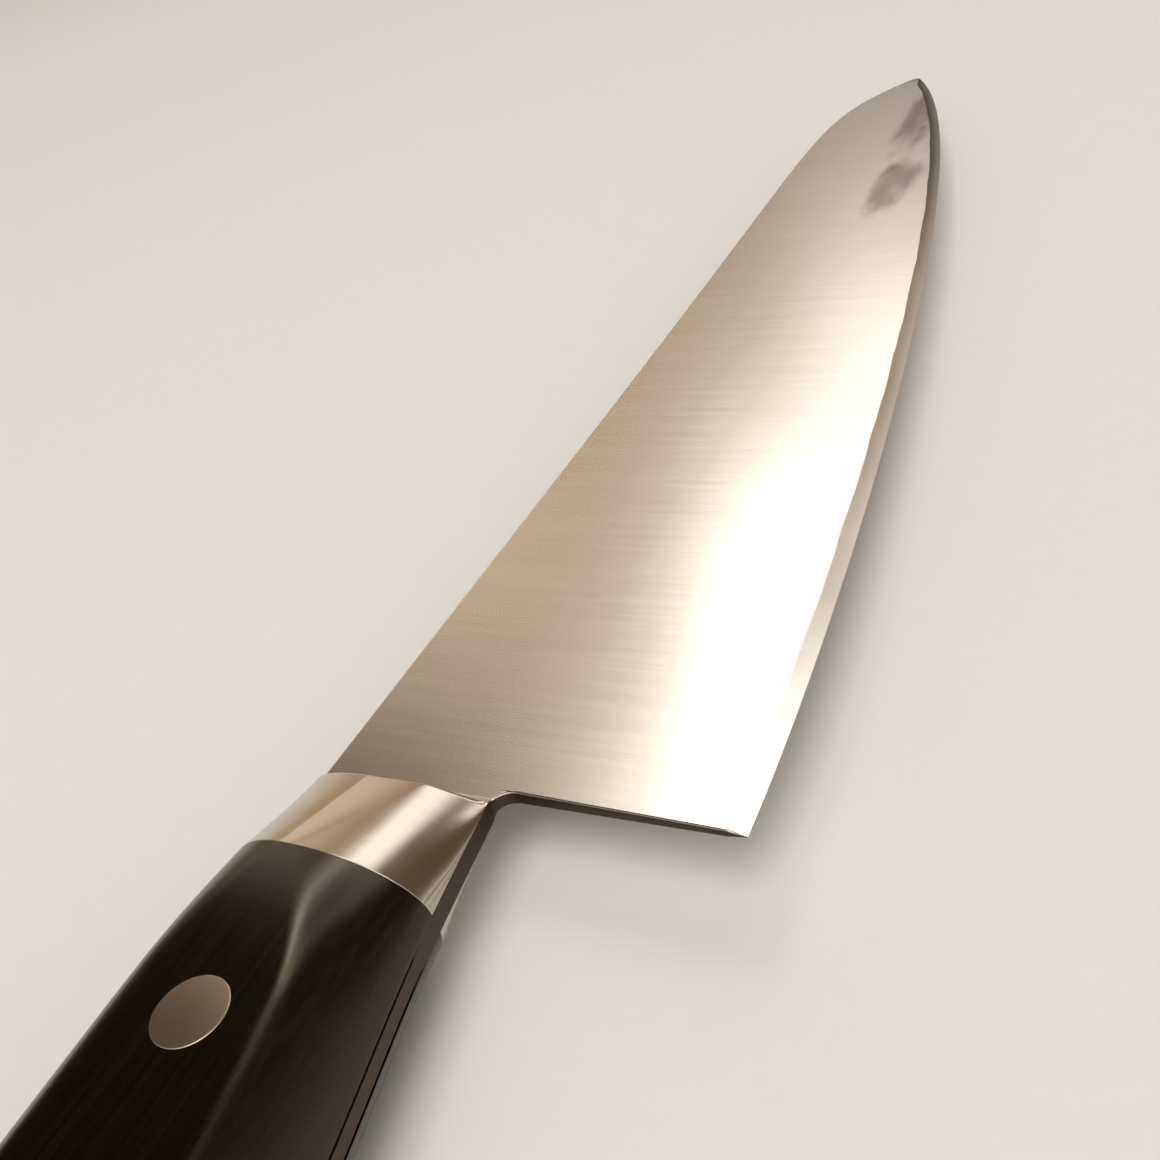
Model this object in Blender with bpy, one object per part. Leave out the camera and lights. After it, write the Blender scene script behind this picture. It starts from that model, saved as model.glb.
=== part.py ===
"""A gyuto, a cook's knife with a Western handle, lying on its left side.

The knife is drawn in its own coordinates, in metres: x runs from the heel to the tip, y from the
cutting edge to the spine, and z out of the blade's right face, from the middle of its thickness.
An empty carries the pieces to the place where the knife lies: the handle's left side is on z = 0
and the middle of the knife's outline is over the origin.
"""

import bpy
import numpy as np
from math import pi

# blade
BLADE_LENGTH = 0.210  # heel to tip
HEEL_HEIGHT = 0.045  # cutting edge to spine at the heel
SPINE_THICKNESS = 0.0022  # at the heel, and of the whole tang
DISTAL_TAPER = 0.0022  # half thickness lost for each unit of length towards the tip
EDGE_THICKNESS = 0.0008  # behind the cutting bevel, at the heel
BEVEL_WIDTH = 0.0018
SPINE_CHAMFER = 0.0002
TIP_HEIGHT = 0.0331  # of the point, above the heel's edge
TIP_ROUNDING = 0.004  # length over which the faces run together into the point
EDGE_FLAT_PULL = 0.0463  # how far the heel's flat stretch holds the edge down
EDGE_TIP_PULL = (0.0342, 0.0187)  # back and down from the point, along the edge
SPINE_CURVE_LENGTH = 0.145  # back from the point to where the straight spine ends
SPINE_PULL = 0.120  # how far the spine runs on before it drops
SPINE_TIP_PULL = (0.0220, 0.0175)  # back and up from the point, along the spine

# choil and neck
CHOIL_LEAN = 0.0010  # the choil's line would meet the spine this far ahead of the heel
NECK_FILLET = 0.0020

# handle, seen from the side: distances back from the bolster's rear face, and heights there
BOLSTER_SETBACK = 0.0015  # heel line to the bolster's front
BOLSTER_LENGTH = 0.0130
SCALE_LENGTH = 0.108
BELLY_BACK = 0.034
WAIST_BACK = 0.072
HANDLE_CREST = 0.0003  # the handle's top over the spine line, at the bolster's rear face
NECK_HEIGHT = 0.0199
JUNCTION_HEIGHT = 0.0217
BELLY_HEIGHT = 0.0265
WAIST_HEIGHT = 0.0242
BUTT_HEIGHT = 0.0290
BELLY_SAG = 0.0004  # the handle's top under the spine line
WAIST_SAG = 0.0020
BUTT_SAG = 0.0046
BUTT_TOP_CORNER = 0.0075  # radii of the butt's corners, seen from the side
BUTT_BOTTOM_CORNER = 0.0110

# handle, seen from above the spine: half widths from the middle of the tang
BOLSTER_NOSE = 0.0030
JUNCTION_HALF = 0.0074
SCALE_HALF = 0.0088  # what the crowned sides would reach
FLAT_HALF = 0.0085  # where the sides are ground flat
FLARE_LENGTH = 0.0150  # the scales widen over this length behind the bolster
NOSE_ROUNDING = 0.0006
BUTT_ROUNDING = 0.0025

# rounded corners of the handle's section; an exponent of 2 is an ellipse, 1 a straight slope
BOLSTER_UPPER_SHARE = 0.36  # of the section's height
NOSE_LOWER_SHARE = 0.30
BOLSTER_LOWER_SHARE = 0.60  # at the bolster's rear face
SCALE_UPPER_CORNER = 0.0064
SCALE_LOWER_CORNER = 0.0062
BOLSTER_UPPER_FULLNESS = 2.0
NOSE_LOWER_FULLNESS = 1.10
BOLSTER_LOWER_FULLNESS = 2.0  # at the bolster's rear face
SCALE_UPPER_FULLNESS = 1.75
SCALE_LOWER_FULLNESS = 1.35

# rivets: a male half pressed into a female half, heads flush with the handle's sides
RIVET_HEAD = 0.0066
RIVET_HEAD_DEPTH = 0.0030
RIVET_TUBE = 0.0044
RIVET_STEM = 0.0028
FRONT_RIVET_BACK = 0.0175
MIDDLE_RIVET_BACK = 0.0540
REAR_RIVET_BACK = 0.0905

GAP = 0.0003  # between a piece and what it rests on or passes through
SAME_PLACE = 0.00001  # stations closer together than this count as one

# fineness
BLADE_COLUMNS = 44
HANDLE_COLUMNS = 26
BOLSTER_COLUMNS = 7
FILLET_COLUMNS = 6
FLARE_COLUMNS = 8
NOSE_COLUMNS = 3
BUTT_COLUMNS = 9
CORNER_STEPS = 11
RIVET_SIDES = 36
CURVE_POINTS = 600
SHARP_ANGLE = pi / 6  # edges sharper than this aren't shaded smooth
CHAMFER_SHARE = 0.125  # of the blade's height, at most, near the point

half_tang = SPINE_THICKNESS / 2
inner_face = half_tang + GAP
bolster_front = -BOLSTER_SETBACK
junction = bolster_front - BOLSTER_LENGTH
scale_front = junction - GAP
butt = scale_front - SCALE_LENGTH
choil_height = HEEL_HEIGHT - NECK_HEIGHT - NECK_FILLET
choil_top = CHOIL_LEAN * choil_height / HEEL_HEIGHT
fillet_start = choil_top - NECK_FILLET
rounded_length = max(BUTT_TOP_CORNER, BUTT_BOTTOM_CORNER, BUTT_ROUNDING)
face_slope = (SPINE_THICKNESS - EDGE_THICKNESS) / 2 / (HEEL_HEIGHT - BEVEL_WIDTH)


def bezier(start, pull_start, pull_end, end):
    """Points of a cubic curve between two points, with a pull point for each end."""
    t = np.linspace(0, 1, CURVE_POINTS)[:, None]
    weights = ((1 - t) ** 3, 3 * t * (1 - t) ** 2, 3 * t**2 * (1 - t), t**3)
    return sum(w * np.array(p) for w, p in zip(weights, (start, pull_start, pull_end, end)))


def smooth_through(stations, x):
    """Heights at x of a curve that passes smoothly through stations, each (x, height)."""
    knots = np.array(sorted(stations))
    slopes = np.gradient(knots[:, 1], knots[:, 0])
    i = np.clip(np.searchsorted(knots[:, 0], x) - 1, 0, len(knots) - 2)
    step = knots[i + 1, 0] - knots[i, 0]
    t = np.clip((x - knots[i, 0]) / step, 0, 1)
    return (
        (1 + 2 * t) * (1 - t) ** 2 * knots[i, 1]
        + t * (1 - t) ** 2 * step * slopes[i]
        + t**2 * (3 - 2 * t) * knots[i + 1, 1]
        + t**2 * (t - 1) * step * slopes[i + 1]
    )


def edge_line(x):
    """Height of the cutting edge: flat at the heel, then one long belly up to the point."""
    tip = (BLADE_LENGTH, TIP_HEIGHT)
    pull = (tip[0] - EDGE_TIP_PULL[0], tip[1] - EDGE_TIP_PULL[1])
    curve = bezier((0, 0), (EDGE_FLAT_PULL, 0), pull, tip)
    return np.interp(x, curve[:, 0], curve[:, 1])


def spine_line(x):
    """Height of the spine: straight from the handle, then a full curve down to the point."""
    tip = (BLADE_LENGTH, TIP_HEIGHT)
    start = tip[0] - SPINE_CURVE_LENGTH
    pull = (tip[0] - SPINE_TIP_PULL[0], tip[1] + SPINE_TIP_PULL[1])
    curve = bezier((start, HEEL_HEIGHT), (start + SPINE_PULL, HEEL_HEIGHT), pull, tip)
    return np.interp(x, curve[:, 0], curve[:, 1])


def corner_cut(x, radius):
    """How far a rounded corner of this radius at the butt has drawn the outline in at x."""
    reach = np.clip(radius - (x - butt), 0, radius)
    return radius - np.sqrt(radius**2 - reach**2)


def handle_top(x):
    """Height of the handle's top line, which the tang shares."""
    stations = (
        (butt, HEEL_HEIGHT - BUTT_SAG),
        (junction - WAIST_BACK, HEEL_HEIGHT - WAIST_SAG),
        (junction - BELLY_BACK, HEEL_HEIGHT - BELLY_SAG),
        (junction, HEEL_HEIGHT + HANDLE_CREST),
        (CHOIL_LEAN, HEEL_HEIGHT),
    )
    return smooth_through(stations, x) - corner_cut(x, BUTT_TOP_CORNER)


def handle_bottom(x):
    """Height of the handle's underside, which the tang shares."""
    stations = (
        (butt, HEEL_HEIGHT - BUTT_SAG - BUTT_HEIGHT),
        (junction - WAIST_BACK, HEEL_HEIGHT - WAIST_SAG - WAIST_HEIGHT),
        (junction - BELLY_BACK, HEEL_HEIGHT - BELLY_SAG - BELLY_HEIGHT),
        (junction, HEEL_HEIGHT + HANDLE_CREST - JUNCTION_HEIGHT),
        (fillet_start, HEEL_HEIGHT - NECK_HEIGHT),
    )
    return smooth_through(stations, x) + corner_cut(x, BUTT_BOTTOM_CORNER)


def handle_section(x, turn):
    """Heights and widths of the right half's rounded outside at x, from top (0) to bottom (pi).

    A section is an upper and a lower rounded corner, each a quarter of a superellipse that
    starts on the tang's edge, with a straight side between them that is ground flat.
    """
    behind = np.clip((scale_front - x) / FLARE_LENGTH, 0, 1)
    along = np.clip((bolster_front - x) / BOLSTER_LENGTH, 0, 1)
    swell = behind * (2 - behind)
    nose = NOSE_ROUNDING * np.clip(1 - (bolster_front - x) / NOSE_ROUNDING, 0, 1) ** 2
    half = BOLSTER_NOSE + (JUNCTION_HALF - BOLSTER_NOSE) * along - nose
    half = half + (SCALE_HALF - JUNCTION_HALF) * swell
    top = handle_top(x)
    bottom = handle_bottom(x)
    height = top - bottom
    lower_share = NOSE_LOWER_SHARE + (BOLSTER_LOWER_SHARE - NOSE_LOWER_SHARE) * along
    lower_fullness = NOSE_LOWER_FULLNESS + (BOLSTER_LOWER_FULLNESS - NOSE_LOWER_FULLNESS) * along
    upper = BOLSTER_UPPER_SHARE * height * (1 - swell) + SCALE_UPPER_CORNER * swell
    lower = lower_share * height * (1 - swell) + SCALE_LOWER_CORNER * swell
    room = (BOLSTER_UPPER_SHARE + BOLSTER_LOWER_SHARE) * height
    fit = np.minimum(1, room / (upper + lower))
    upper = upper * fit
    lower = lower * fit
    upper_power = 2 / (BOLSTER_UPPER_FULLNESS * (1 - swell) + SCALE_UPPER_FULLNESS * swell)
    lower_power = 2 / (lower_fullness * (1 - swell) + SCALE_LOWER_FULLNESS * swell)
    power = np.where(turn <= pi / 2, upper_power, lower_power)
    across = np.abs(np.cos(turn)) ** power
    out = np.abs(np.sin(turn)) ** power
    y = np.where(turn <= pi / 2, top - upper + upper * across, bottom + lower - lower * across)
    crowned = inner_face + (half - inner_face) * out
    flat = FLAT_HALF - corner_cut(x, BUTT_ROUNDING)
    return y, np.minimum(crowned, flat)


def in_order(*runs):
    """All the positions in the runs, sorted, each place once."""
    x = np.sort(np.concatenate(runs))
    return x[np.append(True, np.diff(x) > SAME_PLACE)]


def butt_stations():
    """Positions along the handle's last rounded stretch, closer together towards its end."""
    angles = np.linspace(0, pi / 2, BUTT_COLUMNS)
    return butt + rounded_length * (1 - np.cos(angles))


def add_mesh(name, points, faces, material):
    mesh = bpy.data.meshes.new(name)
    mesh.from_pydata([tuple(p) for p in points], [], [tuple(f) for f in faces])
    mesh.materials.append(material)
    piece = bpy.data.objects.new(name, mesh)
    bpy.context.collection.objects.link(piece)
    piece.parent = knife
    mesh.shade_smooth()
    mesh.set_sharp_from_angle(angle=SHARP_ANGLE)
    return piece


def add_loft(name, rings, material, mirrored):
    """A closed solid through rings of equal length, with both ends capped; mirrored flips z."""
    count = rings.shape[1]
    rings = rings * np.array((1, 1, -1)) if mirrored else rings
    last = (len(rings) - 1) * count
    faces = [tuple(reversed(range(count))), tuple(range(last, last + count))]
    for i in range(0, last, count):
        for j in range(count):
            k = (j + 1) % count
            faces.append((i + j, i + k, i + count + k, i + count + j))
    if mirrored:
        faces = [f[::-1] for f in faces]
    return add_mesh(name, rings.reshape(-1, 3), faces, material)


def add_handle_half(name, stations, material, mirrored):
    """One side's piece of the handle between two stations, flat inside and rounded outside."""
    corner = np.linspace(0, pi / 2, CORNER_STEPS + 1)
    turn = np.concatenate((corner, pi - corner[::-1]))[None, :]
    x = np.sort(stations)[:, None]
    y, z = handle_section(x, turn)
    rings = np.stack((np.broadcast_to(x, y.shape), y, z), axis=-1)
    return add_loft(name, rings, material, mirrored)


def face_half(x, y):
    """Half thickness of the blade: a plane that thins to the edge and to the tip."""
    half = half_tang - DISTAL_TAPER * x - face_slope * (HEEL_HEIGHT - y)
    closing = np.clip((BLADE_LENGTH - x) / TIP_ROUNDING, 0, 1)
    return half * np.sqrt(closing * (2 - closing))


def neck_half(x, y):
    """Half thickness from the tang's flat sides, which run into the blade's faces at the neck."""
    blend = np.clip((x - bolster_front) / (CHOIL_LEAN - bolster_front), 0, 1)
    return half_tang + (face_half(CHOIL_LEAN, y) - half_tang) * blend


def tang_columns():
    """Rows of (x, y, half thickness) from the butt to the choil, top row first."""
    angles = np.linspace(0, pi / 2, FILLET_COLUMNS + 1)
    fillet = fillet_start + NECK_FILLET * np.sin(angles)
    straight = np.linspace(butt + rounded_length, fillet_start, HANDLE_COLUMNS)
    x = in_order(butt_stations(), straight, fillet)
    drop = np.clip(x - fillet_start, 0, NECK_FILLET)
    bottom = handle_bottom(x) - (NECK_FILLET - np.sqrt(NECK_FILLET**2 - drop**2))
    top = handle_top(x)
    rows = []
    for y, narrowing in ((top, SPINE_CHAMFER), (top - SPINE_CHAMFER, 0), (bottom, 0)):
        rows.append(np.stack((x, y, neck_half(x, y) - narrowing), axis=-1))
    return np.stack(rows)


def blade_columns(neck_share):
    """Rows of (x, y, half thickness) from the choil towards the tip, spine row first."""
    share = np.sin(np.linspace(0, pi / 2, BLADE_COLUMNS + 1))[:-1]
    edge_x = BLADE_LENGTH * share
    spine_x = CHOIL_LEAN + (BLADE_LENGTH - CHOIL_LEAN) * share
    edge_y = edge_line(edge_x)
    spine_y = spine_line(spine_x)
    height = spine_y - edge_y
    chamfer = np.minimum(SPINE_CHAMFER, CHAMFER_SHARE * height)
    shoulder = np.minimum(BEVEL_WIDTH / height, neck_share / 2)
    rows = []
    for v in (np.ones_like(share), 1 - chamfer / height, neck_share + 0 * share, shoulder, 0 * share):
        x = edge_x + (spine_x - edge_x) * v
        y = edge_y + height * v
        rows.append(np.stack((x, y, face_half(x, y)), axis=-1))
    rows[0][:, 2] -= np.minimum(chamfer, rows[0][:, 2] / 2)
    rows[-1][:, 2] = 0
    return np.stack(rows)


def add_blade(material):
    """The blade, its neck and its full tang: one sheet of steel with a notch behind the heel.

    The rows run along the knife. The two spine rows and the neck row go its whole length, and the
    bevel's shoulder and the edge start at the choil. Both faces meet in the edge and in the point.
    """
    tang = tang_columns()
    neck_share = tang[2, -1, 1] / HEEL_HEIGHT
    blade = blade_columns(neck_share)
    shared = tang.shape[1] - 1
    columns = shared + blade.shape[1]
    points = []
    index = {}
    for side in (1, -1):
        for column in range(columns):
            rows = tang.shape[0] if column < shared else blade.shape[0]
            for row in range(rows):
                x, y, half = tang[row, column] if column < shared else blade[row, column - shared]
                if half == 0 and side == -1:
                    index[side, row, column] = index[1, row, column]
                else:
                    index[side, row, column] = len(points)
                    points.append((x, y, side * half))
    point = len(points)
    points.append((BLADE_LENGTH, TIP_HEIGHT, 0))
    for side in (1, -1):
        for row in range(blade.shape[0]):
            index[side, row, columns] = point
    faces = []

    def add_face(corners, side):
        distinct = list(dict.fromkeys(corners))
        if len(distinct) > 2:
            faces.append(distinct if side == 1 else distinct[::-1])

    for side in (1, -1):
        for row in range(blade.shape[0] - 1):
            first = 0 if row < tang.shape[0] - 1 else shared
            for column in range(first, columns):
                corners = ((row, column), (row + 1, column), (row + 1, column + 1), (row, column + 1))
                add_face([index[side, r, c] for r, c in corners], side)
    rim = [(0, column) for column in range(columns, -1, -1)]
    rim += [(row, 0) for row in range(1, tang.shape[0])]
    rim += [(tang.shape[0] - 1, column) for column in range(1, shared + 1)]
    rim += [(row, shared) for row in range(tang.shape[0], blade.shape[0])]
    for here, there in zip(rim, rim[1:]):
        corners = [index[1, *here], index[-1, *here], index[-1, *there], index[1, *there]]
        add_face(corners, 1)
    return add_mesh("blade", points, faces, material)


def cylinder(name, diameter, low, high, place, material):
    """A round bar along z between two heights, about a place (x, y)."""
    angles = np.linspace(0, 2 * pi, RIVET_SIDES, endpoint=False)
    circle = np.stack((np.cos(angles), np.sin(angles)), axis=-1) * diameter / 2
    rings = [np.column_stack((circle, np.full(RIVET_SIDES, z))) for z in (low, high)]
    points = np.concatenate(rings)
    sides = range(RIVET_SIDES)
    faces = [tuple(reversed(sides)), tuple(i + RIVET_SIDES for i in sides)]
    for i in sides:
        k = (i + 1) % RIVET_SIDES
        faces.append((i, k, k + RIVET_SIDES, i + RIVET_SIDES))
    piece = add_mesh(name, points, faces, material)
    piece.location = (*place, 0)
    return piece


def combine(piece, other, operation):
    """Cuts other out of piece, or joins it to piece, and hides other."""
    step = piece.modifiers.new(other.name, "BOOLEAN")
    step.operation = operation
    step.object = other
    step.solver = "EXACT"
    other.hide_render = True
    other.display_type = "WIRE"


def rivet_place(back):
    """Where a rivet crosses the tang: midway up the handle, this far behind the bolster."""
    x = junction - back
    return x, float(handle_top(x) + handle_bottom(x)) / 2


def add_rivet(name, back, steel, guide):
    """Both halves of a rivet: the male's stem stands in the female's tube."""
    place = rivet_place(back)
    seat = FLAT_HALF - RIVET_HEAD_DEPTH
    male = cylinder(f"{name}_male", RIVET_HEAD, seat, FLAT_HALF, place, steel)
    stem = cylinder(f"{name}_stem", RIVET_STEM, GAP - seat, seat + RIVET_HEAD_DEPTH / 2, place, guide)
    combine(male, stem, "UNION")
    female = cylinder(f"{name}_female", RIVET_HEAD, -FLAT_HALF, -seat, place, steel)
    tube = cylinder(f"{name}_tube", RIVET_TUBE, -seat - RIVET_HEAD_DEPTH / 2, seat - GAP, place, guide)
    bore = cylinder(f"{name}_bore", RIVET_STEM + 2 * GAP, -seat, FLAT_HALF, place, guide)
    combine(female, tube, "UNION")
    combine(female, bore, "DIFFERENCE")


def drill(name, back, blade, scales, guide):
    """The hole for a rivet through the tang and both scales, with a pocket for each head."""
    place = rivet_place(back)
    seat = FLAT_HALF - RIVET_HEAD_DEPTH - GAP
    beyond = 2 * FLAT_HALF
    hole = cylinder(f"{name}_hole", RIVET_TUBE + 2 * GAP, -beyond, beyond, place, guide)
    right = cylinder(f"{name}_right_pocket", RIVET_HEAD + 2 * GAP, seat, beyond, place, guide)
    left = cylinder(f"{name}_left_pocket", RIVET_HEAD + 2 * GAP, -beyond, -seat, place, guide)
    for piece in (blade, *scales):
        combine(piece, hole, "DIFFERENCE")
    for piece, pocket in zip(scales, (right, left)):
        combine(piece, pocket, "DIFFERENCE")


def make_material(name, colour, roughness, metallic):
    material = bpy.data.materials.new(name)
    material.use_nodes = True
    shader = material.node_tree.nodes["Principled BSDF"]
    shader.inputs["Base Color"].default_value = (*colour, 1)
    shader.inputs["Roughness"].default_value = roughness
    shader.inputs["Metallic"].default_value = metallic
    material.diffuse_color = (*colour, 1)
    return material


def add_frame():
    """The empty that lays the knife down, centred over the origin."""
    x = np.linspace(butt, BLADE_LENGTH, CURVE_POINTS)
    blade = x[x >= 0]
    handle = x[x < CHOIL_LEAN]
    highest = max(spine_line(blade).max(), handle_top(handle).max())
    lowest = min(edge_line(blade).min(), handle_bottom(handle).min())
    empty = bpy.data.objects.new("knife", None)
    empty.location = (-(butt + BLADE_LENGTH) / 2, -(highest + lowest) / 2, FLAT_HALF)
    bpy.context.collection.objects.link(empty)
    return empty


for old in list(bpy.data.objects):
    bpy.data.objects.remove(old, do_unlink=True)
knife = add_frame()

satin_steel = make_material("satin steel", (0.62, 0.60, 0.56), 0.32, 1)
bolster_steel = make_material("polished bolster steel", (0.66, 0.63, 0.58), 0.18, 1)
rivet_steel = make_material("rivet steel", (0.58, 0.53, 0.47), 0.30, 1)
black_wood = make_material("black laminated wood", (0.018, 0.014, 0.012), 0.30, 0)
guide = make_material("guide", (1, 1, 1), 1, 0)

blade = add_blade(satin_steel)

bolster_nose = bolster_front - NOSE_ROUNDING * np.linspace(0, 1, NOSE_COLUMNS)
bolster_body = np.linspace(junction, bolster_front - NOSE_ROUNDING, BOLSTER_COLUMNS)
bolster_stations = in_order(bolster_nose, bolster_body)
add_handle_half("bolster_right", bolster_stations, bolster_steel, mirrored=False)
add_handle_half("bolster_left", bolster_stations, bolster_steel, mirrored=True)

flare = scale_front - FLARE_LENGTH * np.linspace(0, 1, FLARE_COLUMNS)
body = np.linspace(butt + rounded_length, scale_front - FLARE_LENGTH, HANDLE_COLUMNS)
scale_stations = in_order(flare, body, butt_stations())
scales = (
    add_handle_half("scale_right", scale_stations, black_wood, mirrored=False),
    add_handle_half("scale_left", scale_stations, black_wood, mirrored=True),
)

rivets = (
    ("front_rivet", FRONT_RIVET_BACK),
    ("middle_rivet", MIDDLE_RIVET_BACK),
    ("rear_rivet", REAR_RIVET_BACK),
)
for name, back in rivets:
    drill(name, back, blade, scales, guide)
    add_rivet(name, back, rivet_steel, guide)
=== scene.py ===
from math import cos, pi, radians, sin

import bpy
import numpy as np
from mathutils import Matrix, Quaternion, Vector


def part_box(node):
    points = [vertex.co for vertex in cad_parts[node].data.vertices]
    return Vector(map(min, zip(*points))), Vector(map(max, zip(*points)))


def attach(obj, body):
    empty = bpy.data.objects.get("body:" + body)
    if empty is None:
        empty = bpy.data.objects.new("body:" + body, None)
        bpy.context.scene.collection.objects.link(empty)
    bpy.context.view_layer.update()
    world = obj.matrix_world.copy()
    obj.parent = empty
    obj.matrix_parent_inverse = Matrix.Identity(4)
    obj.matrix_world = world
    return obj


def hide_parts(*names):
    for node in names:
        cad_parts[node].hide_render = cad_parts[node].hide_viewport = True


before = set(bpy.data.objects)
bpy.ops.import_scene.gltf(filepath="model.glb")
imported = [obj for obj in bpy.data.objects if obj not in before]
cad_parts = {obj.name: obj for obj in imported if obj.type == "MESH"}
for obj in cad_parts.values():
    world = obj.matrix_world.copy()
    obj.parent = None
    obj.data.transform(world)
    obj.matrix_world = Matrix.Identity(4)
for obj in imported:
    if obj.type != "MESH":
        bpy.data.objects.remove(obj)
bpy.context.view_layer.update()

# Blade and full tang. One sheet of stainless steel, cut out together with its tang, hardened, and
# ground thin towards the edge and the point. Its faces are finished with fine lines from spine to
# edge, the cutting bevel is ground on last, and the tang runs on between the scales to the butt.
BLADE_LENGTH = 0.210
HEEL_HEIGHT = 0.045
SPINE_THICKNESS = 0.0022
DISTAL_TAPER = 0.0022  # half thickness lost for each unit of length towards the tip
EDGE_THICKNESS = 0.0008  # behind the cutting bevel, at the heel
BEVEL_WIDTH = 0.0018
BEVEL_WAVER = 0.00010  # how far the bevel's upper line wanders
SLOW_WAVES = 310  # of that line, in radians to the metre
QUICK_WAVES = 790
SWELLS = 120
TIP_HEIGHT = 0.0331
TIP_ROUNDING = 0.004  # length over which the faces run together into the point
EDGE_FLAT_PULL = 0.0463
EDGE_TIP_PULL = (0.0342, 0.0187)
SPINE_CURVE_LENGTH = 0.145
SPINE_PULL = 0.120
SPINE_TIP_PULL = (0.0220, 0.0175)
RIM_ROUNDING = 0.00022  # of the spine's and the choil's edges
SQUARE_RIM = 0.01  # the share of that rounding which is left under the handle
ROUNDING_LIMIT = 0.7  # the most that a rim takes of the half thickness
LEAST_ROUNDING = 1e-6  # on the edge and at the point, where no thickness is left
CHOIL_LEAN = 0.0010  # the choil's line would meet the spine this far ahead of the heel
NECK_FILLET = 0.0020
NECK_RAMP = 0.0009  # from the tang's flat side down to the blade's face
FACE_DARK = (0.68, 0.635, 0.575)
FACE_LIGHT = (0.73, 0.685, 0.625)
# the colour of two painted dark reflections on the face
REFLECTION_DARK = (0.17, 0.110, 0.072)
# the bevel's own tan in its middle, and the painted shade it darkens to near the point
BEVEL_MIDDLE = (0.38, 0.315, 0.250)
BEVEL_SHADE = (0.13, 0.098, 0.070)
# painted dark reflection and shade on the rim under the handle and at the choil
RIM_SHADE = (0.080, 0.057, 0.041)
BEVEL_HIGHLIGHT_SPAN = (75.0, 15.0)  # painted highlight: the bevel brightens to the face's colour from the first to the second, in mm from the heel
BEVEL_SHADE_SPAN = (90.0, 165.0)  # painted shade: it darkens towards the point from the first to the second
DARK_REFLECTIONS = (((148.0, 23.4), (15.0, 5.6)), ((186.0, 26.3), (30.0, 4.6)))  # two painted dark reflections on the face: place and half size, in mm
REFLECTION_RAGGED = 1.6  # how far the noise moves a painted reflection's rim
REFLECTION_FADE = 1.4  # an exponent: above 1 a painted reflection is faint for longer towards its rim
FACE_ROUGHNESS = 0.205
BEVEL_ROUGHNESS = 0.18  # added to the face's
SAWN_ROUGHNESS = 0.25

BOLSTER_SETBACK = 0.0015  # heel line to the bolster's front
BOLSTER_LENGTH = 0.0130
HANDLE_LENGTH = 0.1213  # from the bolster's front to the butt
BELLY_BACK = 0.034  # behind the bolster's rear face
WAIST_BACK = 0.072
HANDLE_CREST = 0.0003
NECK_HEIGHT = 0.0199
JUNCTION_HEIGHT = 0.0217
BELLY_HEIGHT = 0.0265
WAIST_HEIGHT = 0.0242
BUTT_HEIGHT = 0.0290
BELLY_SAG = 0.0004
WAIST_SAG = 0.0020
BUTT_SAG = 0.0046
BUTT_TOP_CORNER = 0.0075
BUTT_BOTTOM_CORNER = 0.0110

MM = 1000  # in a metre
SHARP_ANGLE = 35  # degrees; an edge over it stays sharp
CURVE_POINTS = 2000
RIM_POINTS = 6
BEYOND_RIM = (1.5, 2.5)  # places of two more points past a rim's rounding, in radii
BLADE_COLUMNS = 320
TANG_COLUMNS = 120
FILLET_COLUMNS = 19
BUTT_COLUMNS = 24
BEVEL_ROWS = (0, 0.05, 0.35, 0.65, 0.93, 1, 1.07)  # shares of the bevel's height
FACE_ROWS = 26  # between the bevel and the neck, and again from there to the spine
RIM_SHARE = 0.125  # the most of the blade's height that a rim's rows take

half_tang = SPINE_THICKNESS / 2
bolster_front = -BOLSTER_SETBACK
junction = bolster_front - BOLSTER_LENGTH
butt = bolster_front - HANDLE_LENGTH
choil_height = HEEL_HEIGHT - NECK_HEIGHT - NECK_FILLET
choil_top = CHOIL_LEAN * choil_height / HEEL_HEIGHT
fillet_start = choil_top - NECK_FILLET
face_slope = (SPINE_THICKNESS - EDGE_THICKNESS) / 2 / (HEEL_HEIGHT - BEVEL_WIDTH)

# The knife is drawn from its heel: x to the tip, y from edge to spine, z out of the right face.
blade_low, blade_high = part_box("blade")
heel = np.array((blade_high.x - BLADE_LENGTH, blade_low.y, (blade_low.z + blade_high.z) / 2))


def bezier(start, pull_start, pull_end, end):
    """Points of a cubic curve: its four corner points weighted by the Bernstein polynomials."""
    t = np.linspace(0, 1, CURVE_POINTS)[:, None]
    weights = ((1 - t) ** 3, 3 * t * (1 - t) ** 2, 3 * t**2 * (1 - t), t**3)
    return sum(w * np.array(p) for w, p in zip(weights, (start, pull_start, pull_end, end)))


def smooth_through(stations, x):
    """Heights at x of cubic Hermite pieces through stations, each (x, height)."""
    knots = np.array(sorted(stations))
    slopes = np.gradient(knots[:, 1], knots[:, 0])
    i = np.clip(np.searchsorted(knots[:, 0], x) - 1, 0, len(knots) - 2)
    step = knots[i + 1, 0] - knots[i, 0]
    t = np.clip((x - knots[i, 0]) / step, 0, 1)
    return (
        (1 + 2 * t) * (1 - t) ** 2 * knots[i, 1]
        + t * (1 - t) ** 2 * step * slopes[i]
        + t**2 * (3 - 2 * t) * knots[i + 1, 1]
        + t**2 * (t - 1) * step * slopes[i + 1]
    )


def edge_line(x):
    """Height of the cutting edge: flat at the heel, then one long belly up to the point."""
    tip = (BLADE_LENGTH, TIP_HEIGHT)
    pull = (tip[0] - EDGE_TIP_PULL[0], tip[1] - EDGE_TIP_PULL[1])
    curve = bezier((0, 0), (EDGE_FLAT_PULL, 0), pull, tip)
    return np.interp(x, curve[:, 0], curve[:, 1])


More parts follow.
